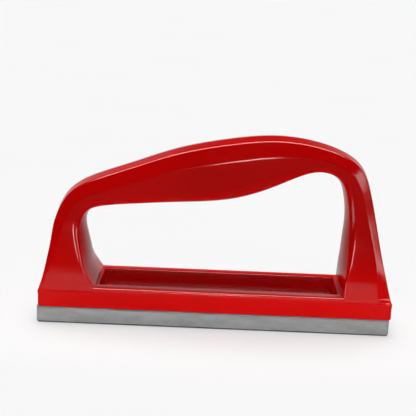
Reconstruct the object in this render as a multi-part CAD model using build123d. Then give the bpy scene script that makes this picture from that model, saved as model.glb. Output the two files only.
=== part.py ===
from build123d import *
import math
import os

os.makedirs("parts", exist_ok=True)

# Squeegee applicator with a loop handle. X runs along the base, Y through its
# width, Z up from the working face. The origin is under the middle of the base.

# --- base frame -----------------------------------------------------------
BASE_L = 250.0
BASE_W = 58.0
BAND_H = 14.8
BAND_CORNER_R = 2.5
RIM_EDGE_R = 1.8
SHOULDER_H = 3.5
WALL = 2.4
SKIRT = 2.0
RIM_W = 8.8
TRAY_END_LEFT = 42.5
TRAY_END_RIGHT = 37.5
TRAY_CORNER_R = 1.5
RIM_LAP = 4.0

# --- pad stack, from the working face up ------------------------------------
FACE_T = 1.0
CORE_T = 9.6
LOOP_T = 1.1
PAD_GAP = 0.3
PAD_INSET = 0.2
FACE_INSET = 0.7
PAD_OFFSET = -0.9
PAD_CORNER_R = 2.0

# --- sole plate and hook strips ---------------------------------------------
HOOK_T = 0.8
HOOK_W = 12.0
HOOK_PITCH = 17.0
HOOK_END_GAP = 12.0
PLATE_T = 1.6
PLATE_CLEARANCE = 0.25

# --- loop handle ------------------------------------------------------------
HANDLE_RISE = 109.0
GRIP_DEPTH = 34.0
SIDE_DRAFT = 0.4
LEAST_R = 0.8
KEEL_SHARE = 0.35
FOOT_SINK = 4.0
RIB_T = 1.8
RIB_SETBACK = 1.0

# --- fasteners --------------------------------------------------------------
PLATE_SCREW_D = 3.0
PLATE_HEAD_D = 5.6
PLATE_SCREW_L = 8.0
PLATE_BOSS_R = 3.4
PLATE_BOSS_H = 8.0
HEAD_EDGE = 0.2
SHELL_SCREW_D = 3.2
SHELL_HEAD_D = 6.0
SHELL_HEAD_H = 2.2
SHELL_SCREW_L = 18.0
SHELL_SEAT_Y = 10.0
FRONT_BOSS_R = 4.2
REAR_BOSS_R = 4.8
SPIGOT_R = 2.9
SPIGOT_L = 1.8
THREAD_CLEARANCE = 0.05
HOLE_CLEARANCE = 0.2
HEAD_CLEARANCE = 0.4
BOSS_BITE = 0.4
TIP_ROOM = 1.5
DRIVE_W = 0.9
DRIVE_DEPTH = 1.2

# --- levels -----------------------------------------------------------------
BODY_Z = FACE_T + CORE_T + LOOP_T + PAD_GAP
RIM_Z = BODY_Z + BAND_H
PLATE_Z = BODY_Z + HOOK_T
PLATE_TOP = PLATE_Z + PLATE_T
TRAY_X0 = -BASE_L / 2 + TRAY_END_LEFT
TRAY_X1 = BASE_L / 2 - TRAY_END_RIGHT
TRAY_Y = BASE_W / 2 - RIM_W

# Stations of the loop, from the left foot over the grip to the right foot.
# end: -1, 0 or 1 measures X from the left end, the middle or the right end.
# lift: 0 measures Z from the rim, 1 from the top of the loop.
# (end, lift, outer X, outer Z, inner X, inner Z, flare,
#  crown, facet depth, facet height, outer r, facet r, inner r, keel)
STATIONS = [
    (-1, 0, 0.4, -3.4, 41.6, -3.4, 0.98, 0.0, 1.0, 1.0, 1.2, 1.2, 0.8, 0.8),
    (-1, 0, 1.4, 0.4, 41.0, 0.4, 0.94, 0.0, 1.2, 1.2, 1.3, 1.3, 0.9, 0.9),
    (-1, 0, 3.6, 9.0, 36.3, 9.5, 0.90, 0.1, 2.0, 2.2, 1.5, 2.0, 1.6, 2.6),
    (-1, 0, 5.5, 19.5, 34.1, 20.0, 0.78, 0.3, 2.6, 3.2, 1.5, 2.5, 2.8, 4.0),
    (-1, 0, 7.2, 31.5, 31.6, 32.5, 0.45, 0.5, 3.2, 4.8, 1.6, 3.0, 4.4, 4.4),
    (-1, 0, 8.8, 44.5, 30.4, 43.2, 0.14, 0.9, 3.8, 6.4, 1.6, 3.5, 5.0, 3.2),
    (-1, 1, 15.2, -49.0, 35.0, -57.0, 0.0, 1.2, 4.4, 7.6, 1.8, 3.3, 5.2, 2.0),
    (-1, 1, 30.5, -36.0, 47.4, -53.8, 0.0, 1.4, 4.6, 9.1, 1.8, 4.0, 6.0, 2.4),
    (-1, 1, 62.8, -23.5, 67.6, -52.3, 0.0, 1.5, 4.8, 10.1, 1.8, 4.0, 6.5, 3.2),
    (-1, 1, 95.0, -12.0, 97.1, -50.1, 0.08, 1.6, 5.0, 11.2, 2.0, 4.5, 7.4, 4.0),
    (0, 1, 5.4, -4.0, 10.2, -46.0, 0.12, 1.8, 5.0, 12.2, 2.0, 5.0, 7.6, 4.0),
    (0, 1, 41.2, -0.3, 42.9, -34.4, 0.08, 1.8, 5.0, 11.2, 2.0, 5.0, 6.8, 3.4),
    (1, 1, 51.0, -5.0, 58.8, -24.4, 0.0, 1.5, 4.6, 7.6, 2.0, 3.6, 5.4, 2.0),
    (1, 1, 27.5, -16.4, 42.3, -27.8, 0.0, 1.4, 4.4, 6.6, 1.8, 3.0, 5.0, 1.8),
    (1, 1, 18.0, -34.0, 36.0, -40.9, 0.0, 1.2, 4.4, 6.2, 1.8, 3.2, 5.2, 2.0),
    (1, 0, 13.5, 56.3, 34.2, 53.0, 0.08, 0.9, 4.0, 5.9, 1.6, 3.5, 5.4, 2.6),
    (1, 0, 10.2, 39.7, 34.8, 39.0, 0.28, 0.7, 3.4, 5.1, 1.6, 3.0, 5.0, 3.6),
    (1, 0, 7.0, 23.7, 35.6, 24.7, 0.66, 0.4, 2.6, 3.6, 1.5, 2.5, 3.2, 3.8),
    (1, 0, 4.0, 11.2, 36.1, 12.0, 0.89, 0.2, 2.0, 2.2, 1.5, 2.0, 1.8, 2.6),
    (1, 0, 1.4, 0.4, 35.3, 0.4, 0.94, 0.0, 1.2, 1.2, 1.3, 1.3, 0.9, 0.9),
    (1, 0, 0.4, -3.4, 34.8, -3.4, 0.98, 0.0, 1.0, 1.0, 1.2, 1.2, 0.8, 0.8),
]
SHELL_SCREW_STATIONS = (3, 8, 10, 13, 17)
RIB_STATIONS = (9, 11)


def block(x0, x1, y0, y1, z0, z1):
    """A box given by its limits."""
    centre = Pos((x0 + x1) / 2, (y0 + y1) / 2, (z0 + z1) / 2)
    return centre * Box(abs(x1 - x0), abs(y1 - y0), abs(z1 - z0))


def slab(length, width, radius, x, z0, z1):
    """A flat sheet with rounded corners."""
    outline = Pos(x, 0, z0) * RectangleRounded(length, width, radius)
    return extrude(outline, z1 - z0)


def station(index):
    """Outer point, inner point and half depth of one station of the loop."""
    end, lift, ox, oz, ix, iz, flare = STATIONS[index][:7]
    inward = -end if end else 1
    x0 = end * BASE_L / 2
    z0 = RIM_Z + lift * HANDLE_RISE
    outer = (x0 + inward * ox, z0 + oz)
    inner = (x0 + inward * ix, z0 + iz)
    half = (GRIP_DEPTH + flare * (BASE_W - GRIP_DEPTH)) / 2
    return outer, inner, half


def middle(index):
    """X and Z of the middle of a station."""
    outer, inner, _ = station(index)
    return (outer[0] + inner[0]) / 2, (outer[1] + inner[1]) / 2


def rounded(before, corner, after, radius):
    """Start, middle and end of the arc that rounds a corner in the plane."""
    back = (before - corner).normalized()
    ahead = (after - corner).normalized()
    half = back.get_angle(ahead) * math.pi / 360
    reach = radius / math.tan(half)
    axis = (back + ahead).normalized()
    centre = corner + axis * (radius / math.sin(half))
    return corner + back * reach, centre - axis * radius, corner + ahead * reach


def section(index, side, inset, drop=0.0):
    """Closed half section of the loop on one side of the parting plane."""
    outer, inner, half = station(index)
    crown, facet_y, facet_z, r_out, r_facet, r_in, keel = STATIONS[index][7:]
    mid = Vector(outer[0] + inner[0], 0, outer[1] + inner[1]) / 2
    across = Vector(outer[0] - inner[0], 0, outer[1] - inner[1])
    h = across.length / 2 - inset
    across = across.normalized()
    depth = half - inset
    r_out, r_facet, r_in = [max(r - inset, LEAST_R) for r in (r_out, r_facet, r_in)]
    share = KEEL_SHARE * depth
    r_keel = share / math.tan(math.atan2(keel, depth - SIDE_DRAFT - share) / 2)
    outline = [
        (Vector(0, h), 0),
        (Vector(depth - facet_y, h - crown), r_out),
        (Vector(depth, h - crown - facet_z), r_facet),
        (Vector(depth - SIDE_DRAFT, keel - h), r_in),
        (Vector(share, -h), r_keel),
        (Vector(0, -h), 0),
    ]

    def place(point):
        return mid + across * point.Y + Vector(0, side * point.X, -drop)

    edges = []
    start = place(outline[0][0])
    for before, corner, after in zip(outline, outline[1:], outline[2:]):
        arc = rounded(before[0], corner[0], after[0], corner[1])
        first, bend, last = [place(p) for p in arc]
        edges.append(Edge.make_line(start, first))
        edges.append(Edge.make_three_point_arc(first, bend, last))
        start = last
    edges.append(Edge.make_line(start, place(outline[0][0])))
    return Wire(edges)


def loop(side, inset):
    """Half of the loop handle as one lofted solid, rooted below the rim."""
    last = len(STATIONS) - 1
    sink = FOOT_SINK + inset
    sections = [section(0, side, inset, sink)]
    sections += [section(i, side, inset) for i in range(last + 1)]
    sections.append(section(last, side, inset, sink))
    return Solid.make_loft(sections)


def band(side):
    """Half of the base frame: the band under the feet and the rim between them."""
    outer_y = side * BASE_W / 2
    low = block(-BASE_L / 2, BASE_L / 2, 0, outer_y, BODY_Z, RIM_Z - SHOULDER_H)
    upright = low.edges().filter_by(Axis.Z)
    corners = [e for e in upright if abs(e.center().Y - outer_y) < 0.01]
    low = fillet(corners, BAND_CORNER_R)
    rim = block(TRAY_X0 - RIM_LAP, TRAY_X1 + RIM_LAP, 0, outer_y, BODY_Z, RIM_Z)
    top = rim.faces().sort_by(Axis.Z)[-1]
    edges = [e for e in top.edges() if abs(e.center().Y - outer_y) < 0.01]
    return low + fillet(edges, RIM_EDGE_R)


def cavity(side):
    """Everything cut out of one shell: tray, plate rebate, channel, feet, loop."""
    x_in = BASE_L / 2 - WALL
    y_in = BASE_W / 2 - WALL
    z_in = RIM_Z - WALL
    low = BODY_Z - 1
    tray = slab(
        TRAY_X1 - TRAY_X0,
        2 * TRAY_Y,
        TRAY_CORNER_R,
        (TRAY_X0 + TRAY_X1) / 2,
        low,
        RIM_Z + HANDLE_RISE / 4,
    )
    rebate = slab(BASE_L - 2 * SKIRT, BASE_W - 2 * SKIRT, 1.0, 0, low, PLATE_TOP)
    channel = block(-x_in, x_in, side * (TRAY_Y + WALL), side * y_in, low, z_in)
    left = block(-x_in, TRAY_X0 - WALL, -side, side * y_in, low, z_in)
    right = block(TRAY_X1 + WALL, x_in, -side, side * y_in, low, z_in)
    return [tray, rebate, channel, left, right, loop(side, WALL)]


def plate_screw_points(side):
    """X and Y of the sole plate's screws on one side."""
    x_corner = BASE_L / 2 - WALL - PLATE_BOSS_R + BOSS_BITE
    y_corner = side * (BASE_W / 2 - WALL - PLATE_BOSS_R + BOSS_BITE)
    reach = WALL + PLATE_BOSS_R - BOSS_BITE
    y_inner = side * HOOK_PITCH / 2
    y_plate = BASE_W / 2 - SKIRT - PLATE_CLEARANCE
    y_rim = side * min(TRAY_Y + PLATE_BOSS_R, y_plate - HEAD_EDGE - PLATE_HEAD_D / 2)
    third = (TRAY_X1 - TRAY_X0) / 4
    return [
        (-x_corner, y_corner),
        (x_corner, y_corner),
        (TRAY_X0 - reach, y_inner),
        (TRAY_X1 + reach, y_inner),
        (TRAY_X0 + third, y_rim),
        (TRAY_X1 - third, y_rim),
    ]


def along_y(x, z, y0, y1, radius):
    """A round bar along Y."""
    axis = Plane(origin=(x, y0, z), z_dir=(0, 1 if y1 > y0 else -1, 0))
    return extrude(axis * Circle(radius), abs(y1 - y0))


def shell(side):
    """One red half: band, loop, bosses and ribs, hollowed from the parting plane."""
    outside = band(side) + loop(side, 0)
    body = outside
    for cut in cavity(side):
        body = body - cut
    reach = side * BASE_W
    boss_r = REAR_BOSS_R if side > 0 else FRONT_BOSS_R
    inside = []
    for index in SHELL_SCREW_STATIONS:
        x, z = middle(index)
        inside.append(along_y(x, z, 0, reach, boss_r))
    for index in RIB_STATIONS:
        x, z = middle(index)
        rib = (x - RIB_T / 2, x + RIB_T / 2, side * RIB_SETBACK, reach)
        inside.append(block(*rib, z - HANDLE_RISE / 2, z + HANDLE_RISE / 2))
    for x, y in plate_screw_points(side):
        base = Pos(x, y, PLATE_TOP)
        post = Cylinder(PLATE_BOSS_R, PLATE_BOSS_H, align=(Align.CENTER, Align.CENTER, Align.MIN))
        inside.append(base * post)
    for piece in inside:
        body = body + (piece & outside)
    for x, y in plate_screw_points(side):
        hole = PLATE_SCREW_D / 2 + THREAD_CLEARANCE
        depth = PLATE_SCREW_L - PLATE_T + TIP_ROOM / 2
        pilot = Cylinder(hole, depth, align=(Align.CENTER, Align.CENTER, Align.MIN))
        body = body - Pos(x, y, PLATE_TOP) * pilot
    for index in SHELL_SCREW_STATIONS:
        x, z = middle(index)
        if side < 0:
            body = body + along_y(x, z, 0, SPIGOT_L, SPIGOT_R)
            deep = SHELL_SEAT_Y - SHELL_SCREW_L - TIP_ROOM
            hole = SHELL_SCREW_D / 2 + THREAD_CLEARANCE
            body = body - along_y(x, z, SPIGOT_L + 1, deep, hole)
        else:
            hole = SHELL_SCREW_D / 2 + HOLE_CLEARANCE
            head = SHELL_HEAD_D / 2 + HEAD_CLEARANCE
            socket = SPIGOT_R + HOLE_CLEARANCE
            body = body - along_y(x, z, -1, SHELL_SEAT_Y + 1, hole)
            body = body - along_y(x, z, SHELL_SEAT_Y, reach, head)
            body = body - along_y(x, z, -1, SPIGOT_L + HOLE_CLEARANCE, socket)
    return body


def cross_drive():
    """The cross recess of a screw head, cut downward from the XY plane."""
    arm = 3.4 * DRIVE_W
    lying = Box(arm, DRIVE_W, 2 * DRIVE_DEPTH)
    standing = Box(DRIVE_W, arm, 2 * DRIVE_DEPTH)
    return lying + standing


def shell_screw():
    """Pan-head screw, head face on the XY plane, shank down -Z."""
    up = (Align.CENTER, Align.CENTER, Align.MAX)
    head = Cylinder(SHELL_HEAD_D / 2, SHELL_HEAD_H, align=up)
    head = fillet(head.edges().sort_by(Axis.Z)[-1:], 0.9)
    shank = Pos(0, 0, -SHELL_HEAD_H) * Cylinder(SHELL_SCREW_D / 2, SHELL_SCREW_L, align=up)
    shank = chamfer(shank.edges().sort_by(Axis.Z)[:1], 0.7)
    return head + shank - cross_drive()


def plate_screw():
    """Countersunk screw, head face on the XY plane, shank down -Z."""
    up = (Align.CENTER, Align.CENTER, Align.MAX)
    rise = (PLATE_HEAD_D - PLATE_SCREW_D) / 2
    head = Cone(PLATE_SCREW_D / 2, PLATE_HEAD_D / 2, rise, align=up)
    shank = Cylinder(PLATE_SCREW_D / 2, PLATE_SCREW_L, align=up)
    shank = chamfer(shank.edges().sort_by(Axis.Z)[:1], 0.7)
    return head + shank - cross_drive()


def sole_plate():
    """Plate that closes the base from below and is the tray's floor."""
    trim = 2 * (SKIRT + PLATE_CLEARANCE)
    plate = slab(BASE_L - trim, BASE_W - trim, 1.5, 0, PLATE_Z, PLATE_TOP)
    rise = (PLATE_HEAD_D - PLATE_SCREW_D) / 2
    low = (Align.CENTER, Align.CENTER, Align.MIN)
    wide = PLATE_HEAD_D / 2 + THREAD_CLEARANCE
    narrow = PLATE_SCREW_D / 2 + THREAD_CLEARANCE
    sink = Cone(wide, narrow, rise, align=low) + Cylinder(narrow, PLATE_T + 1, align=low)
    for side in (-1, 1):
        for x, y in plate_screw_points(side):
            plate = plate - Pos(x, y, PLATE_Z) * sink
    return plate


def hook_strips():
    """Three strips of hook tape stuck under the sole plate."""
    length = BASE_L - 2 * (SKIRT + HOOK_END_GAP)
    strips = []
    for row in (-1, 0, 1):
        y = row * HOOK_PITCH
        x = length / 2
        strips.append(block(-x, x, y - HOOK_W / 2, y + HOOK_W / 2, BODY_Z, PLATE_Z))
    return Compound(strips)


def pad_layer(inset, z0, thickness):
    """One layer of the replaceable pad."""
    length = BASE_L - 2 * inset
    width = BASE_W - 2 * inset
    return slab(length, width, PAD_CORNER_R, PAD_OFFSET, z0, z0 + thickness)


def placed(screw, spots):
    """Copies of one screw as a group of separate solids."""
    return Compound([spot * screw for spot in spots])


shell_spots = []
for index in SHELL_SCREW_STATIONS:
    x, z = middle(index)
    head_y = SHELL_SEAT_Y + SHELL_HEAD_H
    shell_spots.append(Pos(x, head_y, z) * Rot(-90, 0, 0))
plate_spots = []
for side in (-1, 1):
    for x, y in plate_screw_points(side):
        plate_spots.append(Pos(x, y, PLATE_Z) * Rot(180, 0, 0))

nodes = {
    "front_shell": shell(-1),
    "rear_shell": shell(1),
    "shell_screws": placed(shell_screw(), shell_spots),
    "sole_plate": sole_plate(),
    "plate_screws": placed(plate_screw(), plate_spots),
    "hook_strips": hook_strips(),
    "loop_backing": pad_layer(PAD_INSET, FACE_T + CORE_T, LOOP_T),
    "pad_core": pad_layer(PAD_INSET, FACE_T, CORE_T),
    "working_face": pad_layer(FACE_INSET, 0, FACE_T),
}
for name, shape in nodes.items():
    export_step(shape, f"parts/{name}.step")
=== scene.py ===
import math

import bmesh
import bpy
import numpy as np
from mathutils import Matrix, Vector


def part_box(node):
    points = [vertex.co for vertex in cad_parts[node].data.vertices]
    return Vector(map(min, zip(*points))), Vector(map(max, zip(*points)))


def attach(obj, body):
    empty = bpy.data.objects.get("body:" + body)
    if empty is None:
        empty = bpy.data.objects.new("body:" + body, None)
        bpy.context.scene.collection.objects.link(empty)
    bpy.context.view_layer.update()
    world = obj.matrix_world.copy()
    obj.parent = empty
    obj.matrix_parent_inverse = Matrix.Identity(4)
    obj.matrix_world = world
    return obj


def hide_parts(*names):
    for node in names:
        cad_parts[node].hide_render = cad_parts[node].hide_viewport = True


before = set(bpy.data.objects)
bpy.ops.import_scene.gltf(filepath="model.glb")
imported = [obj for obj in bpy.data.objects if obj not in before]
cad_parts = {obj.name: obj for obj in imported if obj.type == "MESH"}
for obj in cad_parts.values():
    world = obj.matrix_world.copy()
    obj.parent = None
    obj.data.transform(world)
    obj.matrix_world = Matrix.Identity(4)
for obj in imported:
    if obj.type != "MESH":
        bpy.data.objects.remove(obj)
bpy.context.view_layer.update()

bl_info = {
    "name": "Squeegee Applicator",
    "version": (1, 0, 0),
    "blender": (4, 5, 0),
    "location": "3D View > Sidebar > Applicator",
    "description": "Builds a loop-handled squeegee applicator around its CAD frame",
    "category": "Add Mesh",
}

MM = 0.001
BODY = "applicator"
PAD = "pad"
PREFIX = "finish_"

# Levels and limits that the CAD frame gives, in metres.
SHELL_LO, SHELL_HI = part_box("front_shell")
PLATE_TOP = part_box("sole_plate")[1].z
CORE_LO, CORE_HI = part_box("pad_core")
FACE_LO, FACE_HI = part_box("working_face")
LOOP_LO, LOOP_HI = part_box("loop_backing")
HOOK_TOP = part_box("hook_strips")[1].z

# Stations of the loop, from the left foot over the grip to the right foot, in mm.
# end: -1, 0 or 1 measures X from the left end, the middle or the right end.
# lift: 0 measures Z from the rim, 1 from the top of the loop.
# (end, lift, outer X, outer Z, inner X, inner Z, flare,
#  crown, facet depth, facet height, outer r, facet r, inner r, keel)
STATIONS = [
    (-1, 0, -0.1, -4.4, 41.8, -4.4, 1.0, 0.0, 0.9, 0.9, 1.2, 1.2, 0.7, 0.7),
    (-1, 0, 0.0, -3.5, 41.6, -3.5, 1.0, 0.0, 1.0, 1.0, 1.2, 1.2, 0.8, 0.8),
    (-1, 0, 1.3, 0.2, 41.0, 0.2, 0.945, 0.0, 1.2, 1.2, 1.3, 1.3, 0.9, 0.9),
    (-1, 0, 3.6, 9.0, 36.3, 9.5, 0.90, 0.1, 2.0, 2.2, 1.5, 2.0, 1.6, 2.6),
    (-1, 0, 5.5, 19.5, 34.1, 20.0, 0.78, 0.3, 2.6, 3.2, 1.5, 2.5, 2.8, 4.0),
    (-1, 0, 7.2, 31.5, 31.6, 32.5, 0.45, 0.5, 3.2, 4.8, 1.6, 3.0, 4.4, 4.4),
    (-1, 0, 8.8, 44.5, 30.4, 43.2, 0.14, 0.9, 3.8, 6.4, 1.6, 3.5, 5.0, 3.2),
    (-1, 1, 15.2, -49.0, 35.0, -57.0, 0.0, 1.2, 4.4, 7.6, 1.8, 3.3, 5.2, 2.0),
    (-1, 1, 30.5, -36.0, 47.4, -53.8, 0.0, 1.4, 4.6, 9.1, 1.8, 4.0, 6.0, 2.4),
    (-1, 1, 62.8, -23.5, 67.6, -52.3, 0.0, 1.5, 4.8, 10.1, 1.8, 4.0, 6.5, 3.2),
    (-1, 1, 95.0, -12.0, 97.1, -50.1, 0.08, 1.6, 5.0, 11.2, 2.0, 4.5, 7.4, 4.0),
    (0, 1, 5.4, -4.0, 10.2, -46.0, 0.12, 1.8, 5.0, 12.2, 2.0, 5.0, 7.6, 4.0),
    (0, 1, 41.2, -0.3, 42.9, -34.4, 0.08, 1.8, 5.0, 11.2, 2.0, 5.0, 6.8, 3.4),
    (1, 1, 51.0, -5.0, 58.8, -24.4, 0.0, 1.5, 4.6, 7.6, 2.0, 3.6, 5.4, 2.0),
    (1, 1, 27.5, -16.4, 42.3, -27.8, 0.0, 1.4, 4.4, 6.6, 1.8, 3.0, 5.0, 1.8),
    (1, 1, 18.0, -34.0, 36.0, -40.9, 0.0, 1.2, 4.4, 6.2, 1.8, 3.2, 5.2, 2.0),
    (1, 0, 13.5, 56.3, 34.2, 53.0, 0.08, 0.9, 4.0, 5.9, 1.6, 3.5, 5.4, 2.6),
    (1, 0, 10.2, 39.7, 34.8, 39.0, 0.28, 0.7, 3.4, 5.1, 1.6, 3.0, 5.0, 3.6),
    (1, 0, 7.0, 23.7, 35.6, 24.7, 0.66, 0.4, 3.0, 5.0, 1.5, 2.8, 3.2, 3.8),
    (1, 0, 4.0, 11.2, 36.1, 12.0, 0.89, 0.2, 3.4, 7.5, 1.5, 3.0, 1.8, 2.6),
    (1, 0, 1.3, 0.2, 35.3, 0.2, 0.945, 0.0, 2.8, 9.0, 1.3, 3.5, 0.9, 0.9),
    (1, 0, 0.0, -3.5, 34.8, -3.5, 1.0, 0.0, 1.0, 1.0, 1.2, 1.2, 0.8, 0.8),
    (1, 0, -0.1, -4.4, 34.9, -4.4, 1.0, 0.0, 0.9, 0.9, 1.2, 1.2, 0.7, 0.7),
]
SCREW_STATIONS = (4, 9, 11, 14, 18)
BODY_LOW = CORE_HI.z + 1.4 * MM
KEEL_SHARE = 0.35
SIDE_DRAFT = 0.4 * MM
LEAST_R = 0.6 * MM
FOOT_SINK = 4.0 * MM
SHOULDER_DROP = 3.5 * MM
RIM_EDGE_R = 1.8 * MM
RIM_LAP = 4.0 * MM
TRAY_EASE = 0.45 * MM
HEAD_POCKET_R = 3.4 * MM
WEAR_REACH = 1.2 * MM


# --- properties ---------------------------------------------------------------


class ApplicatorSizes(bpy.types.PropertyGroup):
    """Sizes of the red body and its parts"""

    length: bpy.props.FloatProperty(
        name="Base length", description="Length of the base frame",
        default=SHELL_HI.x - SHELL_LO.x, unit="LENGTH",
    )
    width: bpy.props.FloatProperty(
        name="Base width", description="Width of the base frame",
        default=0.058, unit="LENGTH",
    )
    band_height: bpy.props.FloatProperty(
        name="Band height", description="Height of the base frame up to its rim",
        default=0.0148, unit="LENGTH",
    )
    handle_rise: bpy.props.FloatProperty(
        name="Handle rise", description="Top of the loop above the rim",
        default=0.109, unit="LENGTH",
    )
    grip_depth: bpy.props.FloatProperty(
        name="Grip depth", description="Depth of the grip from front to rear",
        default=0.034, unit="LENGTH",
    )
    rim_width: bpy.props.FloatProperty(
        name="Rim width", description="Flat rim beside the tray",
        default=0.0088, unit="LENGTH",
    )
    tray_left: bpy.props.FloatProperty(
        name="Left end to tray", description="Base's left end to the tray",
        default=0.0425, unit="LENGTH",
    )
    tray_right: bpy.props.FloatProperty(
        name="Right end to tray", description="Base's right end to the tray",
        default=0.0375, unit="LENGTH",
    )
    groove: bpy.props.FloatProperty(
        name="Parting groove", description="Half width of the line between the halves",
        default=0.00010, unit="LENGTH",
    )
    skirt: bpy.props.FloatProperty(
        name="Skirt", description="Wall thickness round the sole plate",
        default=0.0020, unit="LENGTH",
    )


class ApplicatorColours(bpy.types.PropertyGroup):
    """Colours of the finishes"""

    red: bpy.props.FloatVectorProperty(
        name="Red plastic", description="Colour of the moulded body",
        subtype="COLOR", size=3, default=(0.70, 0.0004, 0.0004), min=0, max=1,
    )
    paint: bpy.props.FloatVectorProperty(
        name="Red paint", description="Colour of the painted sole plate",
        subtype="COLOR", size=3, default=(0.72, 0.0006, 0.0006), min=0, max=1,
    )
    felt: bpy.props.FloatVectorProperty(
        name="Pad felt", description="Colour of the pad's core",
        subtype="COLOR", size=3, default=(0.335, 0.337, 0.337), min=0, max=1,
    )
    # Dark working-face colour; its darkness is painted shade for the shade line along the pad's
    # bottom edge.
    face: bpy.props.FloatVectorProperty(
        name="Working face", description="Colour of the thin working face",
        subtype="COLOR", size=3, default=(0.075, 0.077, 0.08), min=0, max=1,
    )
    hook: bpy.props.FloatVectorProperty(
        name="Hook tape", description="Colour of the hook tape",
        subtype="COLOR", size=3, default=(0.02, 0.02, 0.022), min=0, max=1,
    )
    steel: bpy.props.FloatVectorProperty(
        name="Screw steel", description="Colour of the zinc-plated screws",
        subtype="COLOR", size=3, default=(0.55, 0.56, 0.58), min=0, max=1,
    )


def sizes():
    """The size properties of the scene."""
    return bpy.context.scene.applicator_sizes


def colours():
    """The colour properties of the scene."""
    return bpy.context.scene.applicator_colours


# --- shader helpers -----------------------------------------------------------


class Val:
    """A node socket that arithmetic can be written on."""

    def __init__(self, mat, socket):
        self.mat = mat
        self.socket = socket

    def _math(self, operation, a, b=None, c=None):
        values = [v for v in (a, b, c) if v is not None]
        return self.mat.node("ShaderNodeMath", {"operation": operation}, dict(enumerate(values)))

    def __add__(self, other):
        return self._math("ADD", self, other)

    def __radd__(self, other):
        return self._math("ADD", other, self)

    def __sub__(self, other):
        return self._math("SUBTRACT", self, other)

    def __mul__(self, other):
        return self._math("MULTIPLY", self, other)

    def __rmul__(self, other):
        return self._math("MULTIPLY", other, self)

    def clamp(self):
        """Held between 0 and 1."""
        return self._math("MINIMUM", self._math("MAXIMUM", self, 0.0), 1.0)

    def step(self, low, high):
        """Smooth rise from 0 at low to 1 at high."""
        return self.mat.node(
            "ShaderNodeMapRange", {"interpolation_type": "SMOOTHSTEP"},
            {"Value": self, "From Min": low, "From Max": high},
        )


class Finish:
    """A material and the short calls that fill its node tree."""

    def __init__(self, name):
        self.mat = bpy.data.materials.new(PREFIX + name)
        self.mat.use_nodes = True
        self.tree = self.mat.node_tree
        self.bsdf = next(n for n in self.tree.nodes if n.type == "BSDF_PRINCIPLED")

    def link(self, value, socket):
        """Sets a socket from a number, a colour or another socket."""
        if isinstance(value, Val):
            self.tree.links.new(value.socket, socket)
        else:
            if socket.type == "RGBA" and len(value) == 3:
                value = (*value, 1.0)
            socket.default_value = value

    def node(self, kind, settings=None, inputs=None, output=0):
        """Any node: its settings first, then its sockets; gives one output."""
        made = self.tree.nodes.new(kind)
        for key, value in (settings or {}).items():
            setattr(made, key, value)
        for key, value in (inputs or {}).items():
            self.link(value, made.inputs[key])
        return Val(self, made.outputs[output])

    def place(self):
        """Object coordinates."""
        return self.node("ShaderNodeTexCoord", output="Object")

    def noise(self, scale, detail=3.0, rough=0.55, at=None, stretch=None):
        """A noise value on object coordinates, stretched by a vector if one is given."""
        where = at or self.place()
        if stretch:
            where = self.node("ShaderNodeMapping", None, {"Vector": where, "Scale": stretch})
        return self.node(
            "ShaderNodeTexNoise", None,
            {"Vector": where, "Scale": scale, "Detail": detail, "Roughness": rough},
        )

    def mix(self, factor, a, b, blend="MIX"):
        """A blend of two colours."""
        made = self.tree.nodes.new("ShaderNodeMix")
        made.data_type = "RGBA"
        made.blend_type = blend
        self.link(factor, made.inputs[0])
        self.link(a, made.inputs[6])
        self.link(b, made.inputs[7])
        return Val(self, made.outputs[2])

    def attribute(self, name):
        """A named attribute's value."""
        return self.node("ShaderNodeAttribute", {"attribute_name": name}, output="Fac")

    def bump(self, height, strength, distance, under=None):
        """A bump from a height, over another normal if one is given."""
        inputs = {"Height": height, "Strength": strength, "Distance": distance}
        if under:
            inputs["Normal"] = under
        return self.node("ShaderNodeBump", None, inputs)

    def shade(self, **inputs):
        """Sets the Principled shader's sockets; an underscore stands for a space."""
        for key, value in inputs.items():
            self.link(value, self.bsdf.inputs[key.replace("_", " ")])
        return self.mat


def red_plastic():
    """Glossy moulded plastic, a little orange peel, rubbed paler along its edges."""
    f = Finish("red_plastic")
    base = colours().red
    cloud = f.noise(14.0, 2.0, 0.5)
    fine = f.noise(900.0, 2.0, 0.5)
    smear = f.noise(60.0, 4.0, 0.6, stretch=(1.0, 1.0, 3.0))
    edge = f.attribute("wear")
    rub = (edge * (f.noise(420.0, 3.0, 0.6) - 0.30) * 2.2).clamp()
    deep = tuple(c * 0.90 for c in base)
    tone = f.mix(cloud.step(0.35, 0.70), deep, tuple(base))
    tone = f.mix(rub * 0.20, tone, (0.78, 0.006, 0.005))
    scratch = f.noise(2600.0, 1.0, 0.4, stretch=(0.05, 1.0, 1.0)).step(0.70, 0.78)
    rough = 0.09 + smear * 0.08 + rub * 0.15 + scratch * 0.05
    peel = f.bump(f.noise(260.0, 2.0, 0.5), 0.05, 0.0006)
    normal = f.bump(fine, 0.02, 0.0002, peel)
    return f.shade(
        Base_Color=tone, Roughness=rough, Normal=normal,
        Specular_IOR_Level=0.42, Coat_Weight=0.0,
    )


def red_paint():
    """Gloss enamel on sheet steel, a little dust and fine scuffing."""
    f = Finish("red_paint")
    base = colours().paint
    cloud = f.noise(22.0, 3.0, 0.5)
    dust = f.noise(700.0, 3.0, 0.6).step(0.58, 0.75)
    tone = f.mix(cloud.step(0.3, 0.7), tuple(c * 0.92 for c in base), tuple(base))
    tone = f.mix(dust * 0.04, tone, (0.45, 0.10, 0.09))
    scuff = f.noise(1800.0, 2.0, 0.5, stretch=(0.06, 1.0, 1.0)).step(0.62, 0.78)
    return f.shade(
        Base_Color=tone, Roughness=0.22 + cloud * 0.06 + scuff * 0.12,
        Specular_IOR_Level=0.40, Normal=f.bump(f.noise(420.0, 2.0, 0.5), 0.04, 0.0004),
    )


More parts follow.
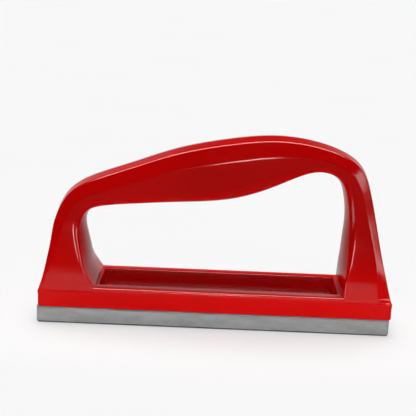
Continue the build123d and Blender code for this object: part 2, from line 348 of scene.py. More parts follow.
def pad_felt():
    """Pressed grey felt: mottled, with short fibres lying in the sheet."""
    f = Finish("pad_felt")
    base = colours().felt
    cloud = f.noise(70.0, 4.0, 0.6, stretch=(0.5, 1.0, 2.0))
    fibre = f.noise(1500.0, 4.0, 0.7, stretch=(0.35, 0.6, 1.6))
    fleck = f.noise(4200.0, 2.0, 0.6).step(0.60, 0.75)
    low = tuple(c * 0.82 for c in base)
    high = tuple(min(c * 1.16, 1.0) for c in base)
    tone = f.mix(cloud.step(0.30, 0.72), low, high)
    tone = f.mix((fibre - 0.35).clamp() * 1.2, tone, tuple(c * 1.35 for c in base))
    tone = f.mix(fleck * 0.25, tone, tuple(c * 0.55 for c in base))
    normal = f.bump(fibre, 0.45, 0.0004)
    return f.shade(
        Base_Color=tone, Roughness=0.92 + cloud * 0.06, Normal=normal,
        Specular_IOR_Level=0.25,
    )


def face_felt():
    """Thin low-friction cloth on the working side; its dark colour is painted shade that gives the
    shade line along the pad's bottom edge.
    """
    f = Finish("face_felt")
    # Painted shade: the dark face colour stands for the shade line along the pad's bottom edge.
    base = colours().face
    weave = f.noise(1900.0, 3.0, 0.6, stretch=(1.0, 1.0, 0.6))
    cloud = f.noise(45.0, 3.0, 0.5)
    tone = f.mix(cloud.step(0.3, 0.7), tuple(c * 0.8 for c in base), tuple(c * 1.25 for c in base))
    tone = f.mix(weave.step(0.55, 0.8) * 0.4, tone, tuple(c * 1.9 for c in base))
    return f.shade(
        Base_Color=tone, Roughness=0.86 + weave * 0.1, Specular_IOR_Level=0.3,
        Normal=f.bump(weave, 0.4, 0.0003),
    )


def loop_cloth():
    """Brushed loop cloth on top of the pad."""
    f = Finish("loop_cloth")
    base = tuple(c * 0.8 for c in colours().felt)
    curl = f.noise(2600.0, 4.0, 0.7)
    cloud = f.noise(50.0, 3.0, 0.5)
    tone = f.mix(cloud.step(0.3, 0.7), tuple(c * 0.8 for c in base), tuple(c * 1.2 for c in base))
    tone = f.mix(curl.step(0.5, 0.75) * 0.5, tone, tuple(c * 1.6 for c in base))
    return f.shade(
        Base_Color=tone, Roughness=0.9 + curl * 0.08, Specular_IOR_Level=0.25,
        Normal=f.bump(curl, 0.6, 0.0005),
    )


def hook_tape():
    """Black nylon tape and its hooks."""
    f = Finish("hook_tape")
    base = colours().hook
    cloud = f.noise(160.0, 3.0, 0.5)
    tone = f.mix(cloud.step(0.3, 0.7), tuple(base), tuple(c * 2.2 for c in base))
    return f.shade(
        Base_Color=tone, Roughness=0.42 + cloud * 0.2, Specular_IOR_Level=0.5,
        Normal=f.bump(f.noise(1400.0, 2.0, 0.5), 0.2, 0.0002),
    )


def screw_steel():
    """Zinc-plated steel, turned, with a little tarnish."""
    f = Finish("screw_steel")
    base = colours().steel
    cloud = f.noise(700.0, 4.0, 0.6)
    tone = f.mix(cloud.step(0.35, 0.75), tuple(base), tuple(c * 0.72 for c in base))
    return f.shade(
        Base_Color=tone, Metallic=1.0, Roughness=0.28 + cloud * 0.22,
        Normal=f.bump(f.noise(3000.0, 2.0, 0.5), 0.15, 0.0001),
    )


def pale_floor():
    """Matt white studio floor that glows a little, as a light table does."""
    f = Finish("pale_floor")
    cloud = f.noise(3.0, 2.0, 0.5)
    tone = f.mix(cloud, (0.50, 0.501, 0.502), (0.52, 0.521, 0.522))
    return f.shade(
        Base_Color=tone, Roughness=0.55, Specular_IOR_Level=0.0,
        Emission_Color=(1.0, 1.0, 1.0), Emission_Strength=0.40,
    )


FINISHES = {
    "red_plastic": red_plastic,
    "red_paint": red_paint,
    "pad_felt": pad_felt,
    "face_felt": face_felt,
    "loop_cloth": loop_cloth,
    "hook_tape": hook_tape,
    "screw_steel": screw_steel,
    "pale_floor": pale_floor,
}


def finish(name):
    """The named procedural material, made the first time it is asked for."""
    return bpy.data.materials.get(PREFIX + name) or FINISHES[name]()


# --- mesh helpers -------------------------------------------------------------


def add_object(name, mesh, material):
    """Links a mesh as a new object at the origin with one material."""
    made = bpy.data.objects.new(name, mesh)
    bpy.context.scene.collection.objects.link(made)
    mesh.materials.clear()
    mesh.materials.append(finish(material))
    return made


def mesh_from(name, verts, faces):
    """A mesh from points and faces with its normals turned outwards."""
    mesh = bpy.data.meshes.new(name)
    mesh.from_pydata([tuple(v) for v in verts], [], faces)
    bm = bmesh.new()
    bm.from_mesh(mesh)
    bmesh.ops.recalc_face_normals(bm, faces=bm.faces)
    bm.to_mesh(mesh)
    bm.free()
    return mesh


def carve(target, tool, operation):
    """Boolean of one object by another; the result is baked and the tool removed."""
    made = target.modifiers.new("cut", "BOOLEAN")
    made.operation = operation
    made.solver = "EXACT"
    made.object = tool
    graph = bpy.context.evaluated_depsgraph_get()
    result = bpy.data.meshes.new_from_object(target.evaluated_get(graph))
    target.modifiers.remove(made)
    old = target.data
    target.data = result
    bpy.data.meshes.remove(old)
    bpy.data.objects.remove(tool)


def scratch_object(mesh):
    """A helper object for a boolean."""
    made = bpy.data.objects.new("tool", mesh)
    bpy.context.scene.collection.objects.link(made)
    return made


def rounded_outline(x0, x1, y0, y1, radius, steps=7):
    """Points round a rectangle with rounded corners, anticlockwise."""
    points = []
    corners = [(x1, y1, 0), (x0, y1, 90), (x0, y0, 180), (x1, y0, 270)]
    for x, y, start in corners:
        cx = x - radius if x == x1 else x + radius
        cy = y - radius if y == y1 else y + radius
        for k in range(steps + 1):
            angle = math.radians(start + 90.0 * k / steps)
            points.append((cx + radius * math.cos(angle), cy + radius * math.sin(angle)))
    return points


def stacked(name, x0, x1, y0, y1, layers):
    """A closed block from rounded outlines; each layer is (z, inset, corner radius)."""
    verts, faces = [], []
    for z, inset, radius in layers:
        ring = rounded_outline(x0 + inset, x1 - inset, y0 + inset, y1 - inset, radius)
        verts += [(x, y, z) for x, y in ring]
    count = len(verts) // len(layers)
    for row in range(len(layers) - 1):
        for k in range(count):
            a, b = row * count + k, row * count + (k + 1) % count
            faces.append((a, b, b + count, a + count))
    faces.append(tuple(range(count))[::-1])
    top = (len(layers) - 1) * count
    faces.append(tuple(range(top, top + count)))
    return mesh_from(name, verts, faces)


def bar(x, z, y0, y1, radius, steps=40):
    """A round bar along Y as a tool object."""
    verts, faces = [], []
    for y in (y0, y1):
        for k in range(steps):
            angle = 2 * math.pi * k / steps
            verts.append((x + radius * math.cos(angle), y, z + radius * math.sin(angle)))
    for k in range(steps):
        n = (k + 1) % steps
        faces.append((k, n, n + steps, k + steps))
    faces.append(tuple(range(steps)))
    faces.append(tuple(range(steps, 2 * steps)))
    return scratch_object(mesh_from("bar", verts, faces))


def lathe(name, profile, steps=40):
    """A closed turned solid about Z from (radius, height) pairs that end on the axis."""
    verts, faces = [], []
    for radius, z in profile[1:-1]:
        for k in range(steps):
            angle = 2 * math.pi * k / steps
            verts.append((radius * math.cos(angle), radius * math.sin(angle), z))
    rows = len(profile) - 2
    for row in range(rows - 1):
        for k in range(steps):
            a, b = row * steps + k, row * steps + (k + 1) % steps
            faces.append((a, b, b + steps, a + steps))
    top, low = len(verts), len(verts) + 1
    verts += [(0, 0, profile[0][1]), (0, 0, profile[-1][1])]
    for k in range(steps):
        n = (k + 1) % steps
        faces += [(k, n, top), ((rows - 1) * steps + k, (rows - 1) * steps + n, low)]
    return mesh_from(name, verts, faces)


def islands(node):
    """Limits of each separate solid of a CAD node, as (low corner, high corner)."""
    bm = bmesh.new()
    bm.from_mesh(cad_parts[node].data)
    bmesh.ops.remove_doubles(bm, verts=bm.verts, dist=1e-6)
    left, found = set(bm.verts), []
    while left:
        front = [left.pop()]
        group = list(front)
        while front:
            near = {e.other_vert(v) for v in front for e in v.link_edges} & left
            left -= near
            front = list(near)
            group += front
        points = np.array([v.co for v in group])
        found.append((points.min(0), points.max(0)))
    bm.free()
    return sorted(found, key=lambda box: tuple(np.round(box[0], 4)))


def scatter_group():
    """Node group that sets a form on points, tilts it and spins it at random."""
    group = bpy.data.node_groups.get("scatter")
    if group:
        return group
    group = bpy.data.node_groups.new("scatter", "GeometryNodeTree")
    group.interface.new_socket("Points", in_out="INPUT", socket_type="NodeSocketGeometry")
    for name, kind in (
        ("Form", "NodeSocketObject"), ("Tilt", "NodeSocketVector"), ("Spin", "NodeSocketFloat"),
        ("Seed", "NodeSocketInt"), ("Material", "NodeSocketMaterial"),
    ):
        group.interface.new_socket(name, in_out="INPUT", socket_type=kind)
    group.interface.new_socket("Geometry", in_out="OUTPUT", socket_type="NodeSocketGeometry")
    new, link = group.nodes.new, group.links.new
    given, out = new("NodeGroupInput"), new("NodeGroupOutput")
    form, place, turn = (
        new("GeometryNodeObjectInfo"), new("GeometryNodeInstanceOnPoints"),
        new("GeometryNodeRotateInstances"),
    )
    pick, angles = new("FunctionNodeRandomValue"), new("ShaderNodeCombineXYZ")
    low = new("ShaderNodeMath")
    real, paint = new("GeometryNodeRealizeInstances"), new("GeometryNodeSetMaterial")
    pick.data_type = "FLOAT"
    low.operation = "MULTIPLY"
    low.inputs[1].default_value = -1.0
    floats = [s for s in pick.inputs if s.name in ("Min", "Max") and s.type == "VALUE"]
    link(given.outputs["Form"], form.inputs["Object"])
    link(given.outputs["Points"], place.inputs["Points"])
    link(form.outputs["Geometry"], place.inputs["Instance"])
    link(given.outputs["Tilt"], place.inputs["Rotation"])
    link(given.outputs["Spin"], low.inputs[0])
    link(low.outputs[0], floats[0])
    link(given.outputs["Spin"], floats[1])
    link(given.outputs["Seed"], pick.inputs["Seed"])
    link(next(s for s in pick.outputs if s.type == "VALUE"), angles.inputs["Z"])
    link(place.outputs["Instances"], turn.inputs["Instances"])
    link(angles.outputs[0], turn.inputs["Rotation"])
    link(turn.outputs["Instances"], real.inputs["Geometry"])
    link(real.outputs["Geometry"], paint.inputs["Geometry"])
    link(given.outputs["Material"], paint.inputs["Material"])
    link(paint.outputs["Geometry"], out.inputs["Geometry"])
    return group


def scattered(name, points, form_mesh, tilt, spin, seed, material, more=None):
    """Copies of a form on points as one plain mesh object, with another mesh joined on."""
    form = scratch_object(form_mesh)
    cloud = bpy.data.meshes.new(name)
    cloud.from_pydata([tuple(p) for p in points], [], [])
    holder = scratch_object(cloud)
    modifier = holder.modifiers.new("scatter", "NODES")
    modifier.node_group = scatter_group()
    given = {"Form": form, "Tilt": tilt, "Spin": spin, "Seed": seed, "Material": finish(material)}
    for item in modifier.node_group.interface.items_tree:
        if item.item_type == "SOCKET" and item.in_out == "INPUT" and item.name in given:
            modifier[item.identifier] = given[item.name]
    graph = bpy.context.evaluated_depsgraph_get()
    result = bpy.data.meshes.new_from_object(holder.evaluated_get(graph))
    bm = bmesh.new()
    bm.from_mesh(result)
    if more:
        bm.from_mesh(more)
    for face in bm.faces:
        face.material_index = 0
    mesh = bpy.data.meshes.new(name)
    bm.to_mesh(mesh)
    bm.free()
    for helper in (holder, form):
        bpy.data.objects.remove(helper)
    return add_object(name, mesh, material)


def mark_wear(mesh, reach):
    """Writes the wear attribute: 1 on convex edges, falling to 0 away from them."""
    bm = bmesh.new()
    bm.from_mesh(mesh)
    bm.normal_update()
    value = np.zeros(len(bm.verts))
    for v in bm.verts:
        bend = [
            e.calc_face_angle_signed(0.0) / max(e.calc_length(), 1e-5)
            for e in v.link_edges
            if len(e.link_faces) == 2
        ]
        value[v.index] = max(bend) if bend else 0.0
    bm.free()
    value = np.clip(value * reach, 0.0, 1.0)
    layer = mesh.attributes.new("wear", "FLOAT", "POINT")
    layer.data.foreach_set("value", value)


def smooth_shade(mesh, angle):
    """Smooth shading that stays sharp past an angle, in degrees."""
    bm = bmesh.new()
    bm.from_mesh(mesh)
    limit = math.radians(angle)
    for e in bm.edges:
        e.smooth = len(e.link_faces) == 2 and e.calc_face_angle(0.0) < limit
    for face in bm.faces:
        face.smooth = True
    bm.to_mesh(mesh)
    bm.free()


# --- the loop's rule -------------------------------------------------------------


def spline(values, at):
    """Natural cubic spline through values at 0, 1, 2... read at other places."""
    n = len(values)
    a = np.eye(n)
    r = np.zeros_like(values)
    for i in range(1, n - 1):
        a[i, i - 1 : i + 2] = (1, 4, 1)
        r[i] = 6 * (values[i - 1] - 2 * values[i] + values[i + 1])
    m = np.linalg.solve(a, r)
    k = np.clip(at.astype(int), 0, n - 2)
    t = (at - k)[:, None]
    p, q = values[k], values[k + 1]
    bend = ((1 - t) ** 3 - (1 - t)) * m[k] + (t**3 - t) * m[k + 1]
    return (1 - t) * p + t * q + bend / 6


def station_table():
    """Outer and inner points, half depth, crown and radii of each station, in metres."""
    s = sizes()
    rim = BODY_LOW + s.band_height
    rows = []
    for end, lift, ox, oz, ix, iz, flare, *shape in STATIONS:
        inward = -end if end else 1
        x0 = end * s.length / 2
        z0 = rim + lift * s.handle_rise
        half = (s.grip_depth + flare * (s.width - s.grip_depth)) / 2
        rows.append([
            x0 + inward * ox * MM, z0 + oz * MM, x0 + inward * ix * MM, z0 + iz * MM,
            half, *[value * MM for value in shape],
        ])
    return np.array(rows)


def corner_arc(before, corner, after, radius, steps):
    """Points of the arc that rounds a corner in the plane."""
    back = (before - corner) / np.linalg.norm(before - corner)
    ahead = (after - corner) / np.linalg.norm(after - corner)
    half = math.acos(max(-1.0, min(1.0, float(back @ ahead)))) / 2
    axis = (back + ahead) / np.linalg.norm(back + ahead)
    centre = corner + axis * radius / math.sin(half)
    first = corner + back * radius / math.tan(half) - centre
    last = corner + ahead * radius / math.tan(half) - centre
    start = math.atan2(first[1], first[0])
    turn = (math.atan2(last[1], last[0]) - start + math.pi) % (2 * math.pi) - math.pi
    angles = start + turn * np.linspace(0, 1, steps)
    return centre + radius * np.stack([np.cos(angles), np.sin(angles)], -1)


def line(a, b, steps):
    """Evenly spaced points from a to b, without b."""
    return a + (b - a) * np.linspace(0, 1, steps, endpoint=False)[:, None]


def half_section(h, depth, crown, facet_y, facet_z, r_out, r_facet, r_in, keel):
    """Half outline of the loop from its ridge to its keel, as (depth, height)."""
    share = KEEL_SHARE * depth
    corners = np.array([
        (0, h), (depth - facet_y, h - crown), (depth, h - crown - facet_z),
        (depth - SIDE_DRAFT, keel - h), (share, -h), (0, -h),
    ])
    radii = [max(r, LEAST_R) for r in (r_out, r_facet, r_in)]
    radii.append(share / math.tan(math.atan2(keel, depth - SIDE_DRAFT - share) / 2))
    points, start = [], corners[0]
    for k, (radius, runs, turns) in enumerate(zip(radii, (8, 7, 9, 4), (7, 9, 15, 12)), start=1):
        arc = corner_arc(corners[k - 1], corners[k], corners[k + 1], radius, turns)
        points += [line(start, arc[0], runs), arc[:-1]]
        start = arc[-1]
    return np.concatenate([*points, corners[-1][None]])


def loop_mesh(density=12):
    """The whole closed loop as a dense grid over its rule, rooted below the rim."""
    table = station_table()
    count = len(table)
    at = np.linspace(0, count - 1, (count - 1) * density + 1)
    path = spline(table[:, :4], at)
    wide = np.stack([np.interp(at, np.arange(count), table[:, k]) for k in range(4, 12)], -1)
    kernel = np.hanning(2 * density + 1)[1:-1]
    kernel /= kernel.sum()
    padded = np.pad(wide, ((density - 1, density - 1), (0, 0)), mode="edge")
    soft = np.stack([np.convolve(padded[:, k], kernel, "valid") for k in range(8)], -1)
    ends = np.minimum(at, count - 1 - at)
    blend = np.clip((ends - 2.0) / 1.5, 0, 1)[:, None]
    wide = wide * (1 - blend) + soft * blend
    rings = []
    for p, w in zip(path, wide):
        outer, inner = p[:2], p[2:]
        mid = (outer + inner) / 2
        across = (outer - inner) / np.linalg.norm(outer - inner)
        h = np.linalg.norm(outer - inner) / 2
        half = half_section(h, *w)
        ring = np.concatenate([half, (half * [-1, 1])[::-1][1:-1]])
        rings.append(np.stack([
            mid[0] + across[0] * ring[:, 1], ring[:, 0], mid[1] + across[1] * ring[:, 1],
        ], -1))
    drop = np.array([0, 0, -FOOT_SINK])
    squeeze = np.array([0.985, 0.97, 1.0])
    for place, source in ((0, rings[0]), (len(rings) + 1, rings[-1])):
        centre = source.mean(0)
        root = centre + (source - centre) * squeeze + drop
        rings.insert(place, root)
    verts = np.concatenate(rings)
    around = len(rings[0])
    faces = []
    for row in range(len(rings) - 1):
        for k in range(around):
            a, b = row * around + k, row * around + (k + 1) % around
            faces.append((a, b, b + around, a + around))
    faces.append(tuple(range(around)))
    last = (len(rings) - 1) * around
    faces.append(tuple(range(last, last + around)))
    return mesh_from("loop", verts, faces)


def station_middle(index):
    """X and Z of the middle of a station, in metres."""
    row = station_table()[index]
    return (row[0] + row[2]) / 2, (row[1] + row[3]) / 2


# --- the red body -----------------------------------------------------------------


def body_outside():
    """The whole red body as one closed outer skin."""
    s = sizes()
    x, y = s.length / 2, s.width / 2
    low = BODY_LOW
    rim = low + s.band_height
    shoulder = rim - SHOULDER_DROP
    body = scratch_object(stacked("body", -x, x, -y, y, [
        (low, 0.35 * MM, 2.2 * MM), (low + 0.12 * MM, 0.12 * MM, 2.4 * MM),
        (low + 0.4 * MM, 0.0, 2.5 * MM), (shoulder, 0.0, 2.5 * MM),
    ]))
    carve(body, scratch_object(loop_mesh()), "UNION")
    left, right = -x + s.tray_left - RIM_LAP, x - s.tray_right + RIM_LAP
    radius = RIM_EDGE_R
    layers = [(low + 2 * MM, 1.0 * MM, 0.3 * MM), (low + 3 * MM, 0.0, 0.3 * MM)]
    for k in range(9):
        angle = math.radians(90 * k / 8)
        rise = rim - radius + radius * math.sin(angle)
        layers.append((rise, radius * (1 - math.cos(angle)), 0.3 * MM))
    rails = stacked("rim", left, right, -y, y, layers)
    carve(body, scratch_object(rails), "UNION")
    ease = TRAY_EASE
    tray = stacked("tray", -x + s.tray_left, x - s.tray_right, -y + s.rim_width,
                   y - s.rim_width, [
        (low - 2 * MM, 0.0, 1.5 * MM), (rim - ease, 0.0, 1.5 * MM),
        (rim - 0.12 * MM, -0.13 * MM, 1.63 * MM), (rim, -ease, 1.95 * MM),
        (rim + 4 * MM, -ease, 1.95 * MM),
    ])
    carve(body, scratch_object(tray), "DIFFERENCE")
    inner = s.skirt
    rebate = stacked("rebate", -x + inner, x - inner, -y + inner, y - inner, [
        (low - 2 * MM, 0.0, 1.0 * MM), (PLATE_TOP, 0.0, 1.0 * MM),
    ])
    carve(body, scratch_object(rebate), "DIFFERENCE")
    return body


def half_body(source, side):
    """One half of the body, cut just off the parting plane to leave the groove, and closed over the
    cut.
    """
    groove = sizes().groove
    bm = bmesh.new()
    bm.from_mesh(source.data)
    geometry = list(bm.verts) + list(bm.edges) + list(bm.faces)
    cut = bmesh.ops.bisect_plane(
        bm, geom=geometry, plane_co=(0, side * groove, 0), plane_no=(0, side, 0),
        clear_inner=True,
    )
    rim = [e for e in cut["geom_cut"] if isinstance(e, bmesh.types.BMEdge)]
    bmesh.ops.triangle_fill(bm, edges=rim, use_beauty=True, normal=(0, -side, 0))
    bmesh.ops.recalc_face_normals(bm, faces=bm.faces)
    mesh = bpy.data.meshes.new("half")
    bm.to_mesh(mesh)
    bm.free()
    return mesh


class APPLICATOR_OT_body(bpy.types.Operator):
    """Builds the two red halves of the handle and base"""

    bl_idname = "applicator.body"
    bl_label = "Red body"

    def execute(self, context):
        body = body_outside()
        for side, node in ((-1, "front_shell"), (1, "rear_shell")):
            mesh = half_body(body, side)
            half = add_object(node.replace("_", ".") + ".skin", mesh, "red_plastic")
            if side > 0:
                for index in SCREW_STATIONS:
                    x, z = station_middle(index)
                    hole = bar(x, z, 0.010, 0.040, HEAD_POCKET_R)
                    carve(half, hole, "DIFFERENCE")
            smooth_shade(half.data, 32)
            mark_wear(half.data, WEAR_REACH)
            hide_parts(node)
            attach(half, BODY)
        bpy.data.objects.remove(body)
        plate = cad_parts["sole_plate"]
        plate.data.materials.clear()
        plate.data.materials.append(finish("red_paint"))
        return {"FINISHED"}


def threaded(head, radius, tip, pitch=1.1 * MM, bite=0.28 * MM):
    """Profile of a screw: its head, a ringed shank and a point."""
    profile = list(head)
    z = head[-1][1]
    while z - pitch > tip + 2 * radius:
        profile += [(radius - bite, z - 0.25 * pitch), (radius, z - 0.5 * pitch)]
        z -= pitch
    return [*profile, (radius - bite, z), (0.4 * radius, tip + 0.1 * MM), (0.0, tip)]


def cross_recess(form, arm, width, depth):
    """Cuts a cross recess into a screw head whose face is on the XY plane."""
    for long, short in ((arm, width), (width, arm)):
        x, y = long / 2, short / 2
        tool = stacked("recess", -x, x, -y, y, [
            (-depth, 0.15 * width, 0.1 * width), (0.5 * depth, -0.05 * width, 0.1 * width),
        ])
        carve(form, scratch_object(tool), "DIFFERENCE")


class APPLICATOR_OT_screws(bpy.types.Operator):
    """Builds the shell screws and the sole plate's screws"""

    bl_idname = "applicator.screws"
    bl_label = "Screws"

    def execute(self, context):
        pan = [
            (0, 0), (1.7, 0), (2.2, -0.08), (2.7, -0.35), (2.95, -0.8),
            (3.0, -1.2), (3.0, -2.2), (1.6, -2.2),
        ]
        flat = [(0, 0), (2.72, 0), (2.8, -0.06), (2.78, -0.14), (1.5, -1.3)]
        for node, head, radius, length, tilt, seed in (
            ("shell_screws", pan, 1.6, 20.2, (-math.pi / 2, 0, 0), 3),
            ("plate_screws", flat, 1.5, 8.0, (math.pi, 0, 0), 5),
        ):
            head = [(r * MM, z * MM) for r, z in head]
            mesh = lathe("screw", threaded(head, radius * MM, -length * MM))
            form = scratch_object(mesh)
            cross_recess(form, 3.1 * MM, 0.9 * MM, 1.2 * MM)
            points = []
            for low, high in islands(node):
                x, y, z = (low + high) / 2
                points.append((x, high[1], z) if tilt[0] < 0 else (x, y, low[2]))
            name = node.replace("_", ".") + ".turned"
            made = scattered(name, points, form.data.copy(), tilt, 3.1, seed, "screw_steel")
            bpy.data.objects.remove(form)
            smooth_shade(made.data, 35)
            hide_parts(node)
            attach(made, BODY)
        return {"FINISHED"}


class APPLICATOR_OT_tape(bpy.types.Operator):
    """Builds the hook tape and its hooks"""

    bl_idname = "applicator.tape"
    bl_label = "Hook tape"

    def execute(self, context):
        pitch, tape, thick = 1.6 * MM, 0.45 * MM, 0.055 * MM
        root = HOOK_TOP - tape
        points, bands = [], bmesh.new()
        for low, high in islands("hook_strips"):
            across = int((high[1] - low[1]) / pitch)
            along = int((high[0] - low[0]) / pitch)
            for i in range(1, along):
                for j in range(1, across):
                    shift = (i % 2) * pitch / 2 - pitch / 4
                    points.append((low[0] + i * pitch, low[1] + j * pitch + shift, root))
            bands.from_mesh(stacked("tape", low[0], high[0], low[1], high[1], [
                (root, 0.05 * MM, 0.2 * MM), (root + 0.1 * MM, 0.0, 0.2 * MM),
                (HOOK_TOP, 0.0, 0.2 * MM),
            ]))
        tapes = bpy.data.meshes.new("tapes")
        bands.to_mesh(tapes)
        bands.free()
        path = [(0, 0.06), (0, -0.20), (0.08, -0.29), (0.20, -0.27), (0.24, -0.18)]
        verts, faces = [], []
        for x, z in path:
            for dx, dy in ((-1, -1), (1, -1), (1, 1), (-1, 1)):
                verts.append((x * MM + dx * thick, dy * thick, z * MM))
        for row in range(len(path) - 1):
            for k in range(4):
                a, b = row * 4 + k, row * 4 + (k + 1) % 4
                faces.append((a, b, b + 4, a + 4))
        faces += [(0, 1, 2, 3), tuple(range(len(verts) - 4, len(verts)))]
        hook = mesh_from("hook", verts, faces)
        made = scattered(
            "hook.strips.moulded", points, hook, (0, 0, 0), 3.1, 11, "hook_tape", more=tapes
        )
        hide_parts("hook_strips")
        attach(made, BODY)
        return {"FINISHED"}


class APPLICATOR_OT_pad(bpy.types.Operator):
    """Builds the pad's three layers"""

    bl_idname = "applicator.pad"
    bl_label = "Pad"

    def execute(self, context):
        layers = [
            ("pad_core", "pad_felt", CORE_LO, CORE_HI, 0.35),
            # The working face's dark cloth is painted shade along the pad's bottom edge.
            ("working_face", "face_felt", FACE_LO, FACE_HI, 0.25),
            ("loop_backing", "loop_cloth", LOOP_LO, LOOP_HI, 0.2),
        ]
        for node, material, low, high, ease in layers:
            e = ease * MM
            rounds = [
                (low.z, e, 1.8 * MM), (low.z + 0.3 * e, 0.3 * e, 1.9 * MM),
                (low.z + e, 0.0, 2.0 * MM), (high.z - e, 0.0, 2.0 * MM),
                (high.z - 0.3 * e, 0.3 * e, 1.9 * MM), (high.z, e, 1.8 * MM),
            ]
            mesh = stacked(node, low.x, high.x, low.y, high.y, rounds)
            piece = add_object(node.replace("_", ".") + ".soft", mesh, material)
            smooth_shade(mesh, 50)
            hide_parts(node)
            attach(piece, PAD)
        return {"FINISHED"}


# --- stage ----------------------------------------------------------------------


def area_light(name, place, target, size, power, glint=False, spread=180):
    """A soft rectangular light facing a target; a glint shows only in reflections."""
    data = bpy.data.lights.new(name, "AREA")
    data.shape = "RECTANGLE"
    data.size, data.size_y = size
    data.energy = power
    data.spread = math.radians(spread)
    light = bpy.data.objects.new(name, data)
    bpy.context.scene.collection.objects.link(light)
    light.location = place
    away = Vector(target) - Vector(place)
    light.rotation_euler = away.to_track_quat("-Z", "Y").to_euler()
    light.visible_camera = False
    light.visible_diffuse = not glint
    return light


# Lamps that only reflections see: (name, place, target, size, power).
GLINTS = (
    ("line_top", (0.0, 0.0, 1.1), (0, 0, 0.1), (1.5, 0.6), 30.0),
    ("line_front", (0.0, -0.80, 0.35), (-0.02, 0, 0.11), (0.16, 0.24), 1.6),
    ("left_low", (-0.65, -0.62, -0.12), (0.08, 0, 0.09), (0.60, 0.24), 1.4),
    ("right_box", (0.80, -0.45, 0.32), (-0.08, 0, 0.05), (0.45, 0.30), 1.7),
)


def studio_world():
    """White backdrop; reflections see a dark room that is pale low down behind."""
    world = bpy.data.worlds.new("studio")
    bpy.context.scene.world = world
    world.use_nodes = True
    tree = world.node_tree
    tree.nodes.clear()
    link = tree.links.new
    out = tree.nodes.new("ShaderNodeOutputWorld")
    path = tree.nodes.new("ShaderNodeLightPath")
    where = tree.nodes.new("ShaderNodeTexCoord")
    split = tree.nodes.new("ShaderNodeSeparateXYZ")
    link(where.outputs["Generated"], split.inputs[0])
    ramps = []
    for axis, low, high, start, end in (("Y", 0.60, 0.95, 0.0, 0.50), ("Z", 0.10, 0.45, 1.0, 0.03)):
        ramp = tree.nodes.new("ShaderNodeMapRange")
        ramp.interpolation_type = "SMOOTHSTEP"
        limits = {"From Min": low, "From Max": high, "To Min": start, "To Max": end}
        for key, value in limits.items():
            ramp.inputs[key].default_value = value
        link(split.outputs[axis], ramp.inputs["Value"])
        ramps.append(ramp.outputs[0])
    both = tree.nodes.new("ShaderNodeMath")
    both.operation = "MULTIPLY"
    link(ramps[0], both.inputs[0])
    link(ramps[1], both.inputs[1])
    lights = {}
    for name, colour, strength in (
        ("room", (1.0, 1.0, 1.0, 1.0), 1.0),
        ("soft", (1.0, 1.0, 1.0, 1.0), 0.14),
        ("seen", (0.93, 0.948, 0.940, 1.0), 1.0),
    ):
        lights[name] = tree.nodes.new("ShaderNodeBackground")
        lights[name].inputs["Color"].default_value = colour
        lights[name].inputs["Strength"].default_value = strength
    link(both.outputs[0], lights["room"].inputs["Strength"])
    last = lights["soft"]
    for ray, name in (("Is Glossy Ray", "room"), ("Is Camera Ray", "seen")):
        choose = tree.nodes.new("ShaderNodeMixShader")
        link(path.outputs[ray], choose.inputs[0])
        link(last.outputs[0], choose.inputs[1])
        link(lights[name].outputs[0], choose.inputs[2])
        last = choose
    link(last.outputs[0], out.inputs["Surface"])


def studio_camera():
    """Camera in front and a little above, rolled a little clockwise."""
    place = Vector((0.0005, -0.720, 0.256))
    yaw, pitch, roll = (math.radians(a) for a in (-0.62, 13.65, 2.19))
    ahead = Vector((
        math.sin(yaw) * math.cos(pitch), math.cos(yaw) * math.cos(pitch), -math.sin(pitch),
    ))
    level = Vector((math.cos(yaw), -math.sin(yaw), 0.0))
    down = ahead.cross(level)
    right = level * math.cos(roll) - down * math.sin(roll)
    up = -(level * math.sin(roll) + down * math.cos(roll))
    data = bpy.data.cameras.new("camera")
    data.sensor_width = 36.0
    data.lens = 89.4
    data.clip_start = 0.01
    data.clip_end = 20.0
    camera = bpy.data.objects.new("camera", data)
    bpy.context.scene.collection.objects.link(camera)
    turn = Matrix((right, up, -ahead)).transposed()
    camera.matrix_world = Matrix.Translation(place) @ turn.to_4x4()
    bpy.context.scene.camera = camera


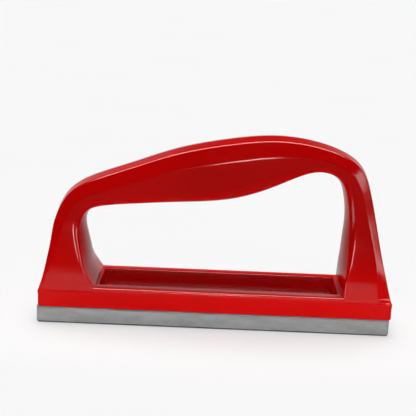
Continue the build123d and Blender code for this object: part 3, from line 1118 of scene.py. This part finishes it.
class APPLICATOR_OT_stage(bpy.types.Operator):
    """Builds the floor, the lights, the backdrop and the camera"""

    bl_idname = "applicator.stage"
    bl_label = "Stage"

    def execute(self, context):
        half = 6.0
        mesh = mesh_from(
            "floor", [(-half, -half, 0), (half, -half, 0), (half, half, 0), (-half, half, 0)],
            [(0, 1, 2, 3)],
        )
        floor = add_object("floor", mesh, "pale_floor")
        floor.visible_glossy = False
        sun = bpy.data.objects.new("overhead", bpy.data.lights.new("overhead", "SUN"))
        sun.data.energy = 2.9
        sun.data.angle = math.radians(45)
        sun.rotation_euler = (math.radians(-10), 0, 0)
        sun.visible_glossy = False
        context.scene.collection.objects.link(sun)
        low = area_light(
            "low_strip", (0.0, -0.14, 0.018), (0, 0, 0.018), (0.44, 0.016), 0.024, spread=44
        )
        low.visible_glossy = False
        for name, place, target, size, power in GLINTS:
            area_light(name, place, target, size, power, glint=True)
        studio_world()
        studio_camera()
        context.scene.view_settings.view_transform = "Standard"
        return {"FINISHED"}


class APPLICATOR_PT_panel(bpy.types.Panel):
    """Lists the build steps"""

    bl_idname = "APPLICATOR_PT_panel"
    bl_label = "Squeegee Applicator"
    bl_space_type = "VIEW_3D"
    bl_region_type = "UI"
    bl_category = "Applicator"

    def draw(self, context):
        for group in (context.scene.applicator_sizes, context.scene.applicator_colours):
            for name in group.bl_rna.properties.keys():
                if name not in ("rna_type", "name"):
                    self.layout.prop(group, name)
        for step in STEPS:
            self.layout.operator(step.bl_idname)


STEPS = (
    APPLICATOR_OT_body,
    APPLICATOR_OT_screws,
    APPLICATOR_OT_tape,
    APPLICATOR_OT_pad,
    APPLICATOR_OT_stage,
)
CLASSES = (ApplicatorSizes, ApplicatorColours, *STEPS, APPLICATOR_PT_panel)


def register():
    for cls in CLASSES:
        bpy.utils.register_class(cls)
    bpy.types.Scene.applicator_sizes = bpy.props.PointerProperty(type=ApplicatorSizes)
    bpy.types.Scene.applicator_colours = bpy.props.PointerProperty(type=ApplicatorColours)


def unregister():
    del bpy.types.Scene.applicator_colours
    del bpy.types.Scene.applicator_sizes
    for cls in reversed(CLASSES):
        bpy.utils.unregister_class(cls)


def main():
    register()
    for step in STEPS:
        area, name = step.bl_idname.split(".")
        getattr(getattr(bpy.ops, area), name)()


if __name__ == "__main__":
    main()
